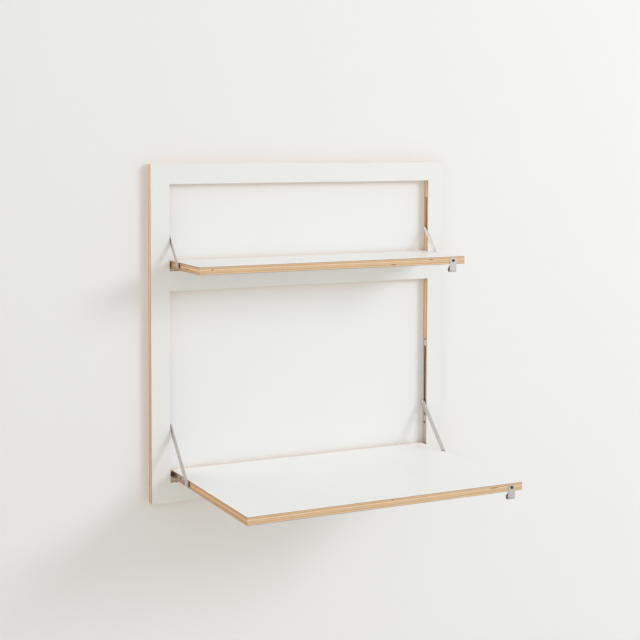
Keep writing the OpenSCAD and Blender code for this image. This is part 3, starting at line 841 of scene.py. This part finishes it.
class SECRETARY_OT_board_fittings(SecretaryStep):
    """Builds the side plates, the pivot blocks, and their screws, rivets and washers"""

    bl_idname = "secretary.board_fittings"
    bl_label = "Board fittings"

    def build(self, context):
        for side in SIDES:
            # The side plates and pivot blocks take a darker copy of the steel, tone 0.8: painted
            # shade for their place on the boards' side edges.
            self.steel_piece("desk_side_plate_" + side, (0, 1, 0), 0.8)
            self.steel_piece("shelf_pivot_block_" + side, (0, 1, 0), 0.8)
        for node in ("desk_plate_screws", "shelf_block_screws"):
            self.countersunk(node, "X", "outer", self.oxide(), "dark_screw")
        for board in RIVET_HEAD:
            self.rivets(board + "_pivot_rivets", board, "outer")
        fibre = material("Washer_fibre",
                         lambda name: moulded(name, self.hardware.washer, 0.6, 1200.0))
        for node in ("desk_pivot_washers", "shelf_pivot_washers"):
            eased_piece(node, 0.5 * self.steel.edge, fibre)


class SECRETARY_OT_pull_loops(SecretaryStep):
    """Builds the two pull loops and their screws"""

    bl_idname = "secretary.pull_loops"
    bl_label = "Pull loops"

    # Button-head screw: height of its head, its shank's radius, its socket's radius and depth
    screw = (1.6 * MM, 2.0 * MM, 1.55 * MM, 1.3 * MM)

    def build(self, context):
        def profile(length, head):
            return button_profile(length, head, *self.screw)

        for board in ("desk", "shelf"):
            self.steel_piece(board + "_pull_loop", (0, 0, 1))
            fastener_piece(board + "_pull_screw", "Y", "low", self.oxide(),
                           profile)


class SECRETARY_OT_struts(SecretaryStep):
    """Builds the four struts and the rivets in their upper ends"""

    bl_idname = "secretary.struts"
    bl_label = "Struts"

    def build(self, context):
        for board in RIVET_HEAD:
            for side in SIDES:
                strut = f"{board}_strut_{side}"
                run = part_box(strut)[1] - middle(strut)
                run.x = 0
                self.steel_piece(strut, run)
                self.rivets(f"{board}_strut_rivet_{side}", board, "inner")


class SECRETARY_OT_sliders(SecretaryStep):
    """Builds the sliders in the stiles and their pins"""

    bl_idname = "secretary.sliders"
    bl_label = "Sliders"

    def build(self, context):
        for board in ("desk", "shelf"):
            for side in SIDES:
                eased_piece(f"{board}_slider_{side}", self.steel.edge,
                            self.nylon())
                eased_piece(f"{board}_slider_pin_{side}", self.steel.edge,
                            self.turned_steel())


class SECRETARY_OT_stage(SecretaryStep):
    """Builds the wall, the floor, the lights and the camera"""

    bl_idname = "secretary.stage"
    bl_label = "Stage"

    # Camera: place, turn to the right, tilt down, focal length in sensor widths, and shift
    eye = (-1.449, -2.887, 0.076)
    turn_right = math.radians(24.43)
    tilt_down = math.radians(3.32)
    focal = 2.0545
    shift = (0.10875, -0.16)
    # How far the wall reaches to each side and up, and how far the floor reaches each way
    wall_reach = 5.0
    floor_reach = 7.0
    # What the lamps point at. The key's direction and the back lamp's offset start from it.
    aim = Vector((0.0, -0.1, -0.4))
    key_from = Vector((0.98, -1.0, 0.55))
    back_from = Vector((-1.0, 1.6, 0.5))
    back_side = 1.2

    def build(self, context):
        stage, scene = self.stage, context.scene
        wall_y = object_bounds()[1].y
        desk_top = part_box("desk_top_laminate")[1].z
        floor_z = desk_top - stage.floor_drop
        side, reach = self.wall_reach, self.floor_reach
        wall = self.sheet("Wall", ((-side, wall_y, floor_z), (side, wall_y, floor_z),
                                   (side, wall_y, side), (-side, wall_y, side)))
        f, sockets = paint("Wall_paint", stage.wall, 260.0, 0.05 * MM)
        wall.data.materials.append(f.one_sided(**sockets))
        wall.visible_shadow = False
        floor = self.sheet("Floor", ((-reach, -reach, floor_z), (reach, -reach, floor_z),
                                     (reach, reach, floor_z), (-reach, reach, floor_z)))
        f, sockets = paint("Floor_paint", stage.floor, 90.0, 0.05 * MM)
        floor.data.materials.append(f.surface(**sockets))
        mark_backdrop(wall, floor)

        world = bpy.data.worlds.new("Even_light")
        world.use_nodes = True
        f = Finish.around(world)
        rightwards = f.fade(f.part("X"), -1.0, 0.2)
        tint = f.mix(rightwards, stage.sky_left, stage.sky_right)
        tint = f.mix(f.fade(f.part("Z"), 0.2, 1.0) * stage.ceiling, tint, (0.0, 0.0, 0.0))
        f.end(f.node("ShaderNodeBackground", None, {"Color": tint, "Strength": stage.sky}),
              "ShaderNodeOutputWorld")
        scene.world = world
        scene.view_settings.view_transform = "Standard"

        self.lamp("Key", self.key_from.normalized() * stage.key_far, stage.key,
                  stage.key_side, stage.key_tint)
        self.lamp("Back", self.back_from, stage.back, self.back_side)

        data = bpy.data.cameras.new("Camera")
        data.lens = self.focal * data.sensor_width
        data.shift_x, data.shift_y = self.shift
        data.clip_start, data.clip_end = 0.05, 50.0
        camera = bpy.data.objects.new("Camera", data)
        camera.location = self.eye
        camera.rotation_euler = (math.radians(90) - self.tilt_down, 0.0, -self.turn_right)
        scene.collection.objects.link(camera)
        scene.camera = camera

    def sheet(self, name, corners):
        mesh = bpy.data.meshes.new(name)
        mesh.from_pydata(corners, [], [(0, 1, 2, 3)])
        made = bpy.data.objects.new(name, mesh)
        bpy.context.scene.collection.objects.link(made)
        return made

    def lamp(self, name, offset, power, side, tint=(1.0, 1.0, 1.0)):
        """A square lamp at an offset from the aim, turned towards it."""
        data = bpy.data.lights.new(name, "AREA")
        data.color = tint
        data.shape = "SQUARE"
        data.size = side
        data.energy = power
        made = bpy.data.objects.new(name, data)
        made.location = self.aim + offset
        made.rotation_euler = (-offset).to_track_quat("-Z", "Y").to_euler()
        made.visible_camera = False
        bpy.context.scene.collection.objects.link(made)


STEPS = (
    SECRETARY_OT_frame,
    SECRETARY_OT_guides,
    SECRETARY_OT_hinges,
    SECRETARY_OT_wall_fixing,
    SECRETARY_OT_boards,
    SECRETARY_OT_board_fittings,
    SECRETARY_OT_pull_loops,
    SECRETARY_OT_struts,
    SECRETARY_OT_sliders,
    SECRETARY_OT_stage,
)


class VIEW3D_PT_secretary(Panel):
    """Steps and settings of the folding secretary"""

    bl_label = "Folding Secretary"
    bl_space_type = "VIEW_3D"
    bl_region_type = "UI"
    bl_category = "Secretary"

    def draw(self, context):
        for step in STEPS:
            self.layout.operator(step.bl_idname)
        for name, group in GROUPS:
            box = self.layout.box()
            box.label(text=group.__doc__)
            for key in group.__annotations__:
                box.prop(getattr(context.scene, name), key)


CLASSES = (*(group for name, group in GROUPS), *STEPS, VIEW3D_PT_secretary)


def register():
    for item in CLASSES:
        bpy.utils.register_class(item)
    for name, group in GROUPS:
        setattr(bpy.types.Scene, name, PointerProperty(type=group))


def unregister():
    for name, _ in GROUPS:
        delattr(bpy.types.Scene, name)
    for item in reversed(CLASSES):
        bpy.utils.unregister_class(item)


def main():
    register()
    for step in STEPS:
        area, name = step.bl_idname.split(".")
        getattr(getattr(bpy.ops, area), name)()


if __name__ == "__main__":
    main()
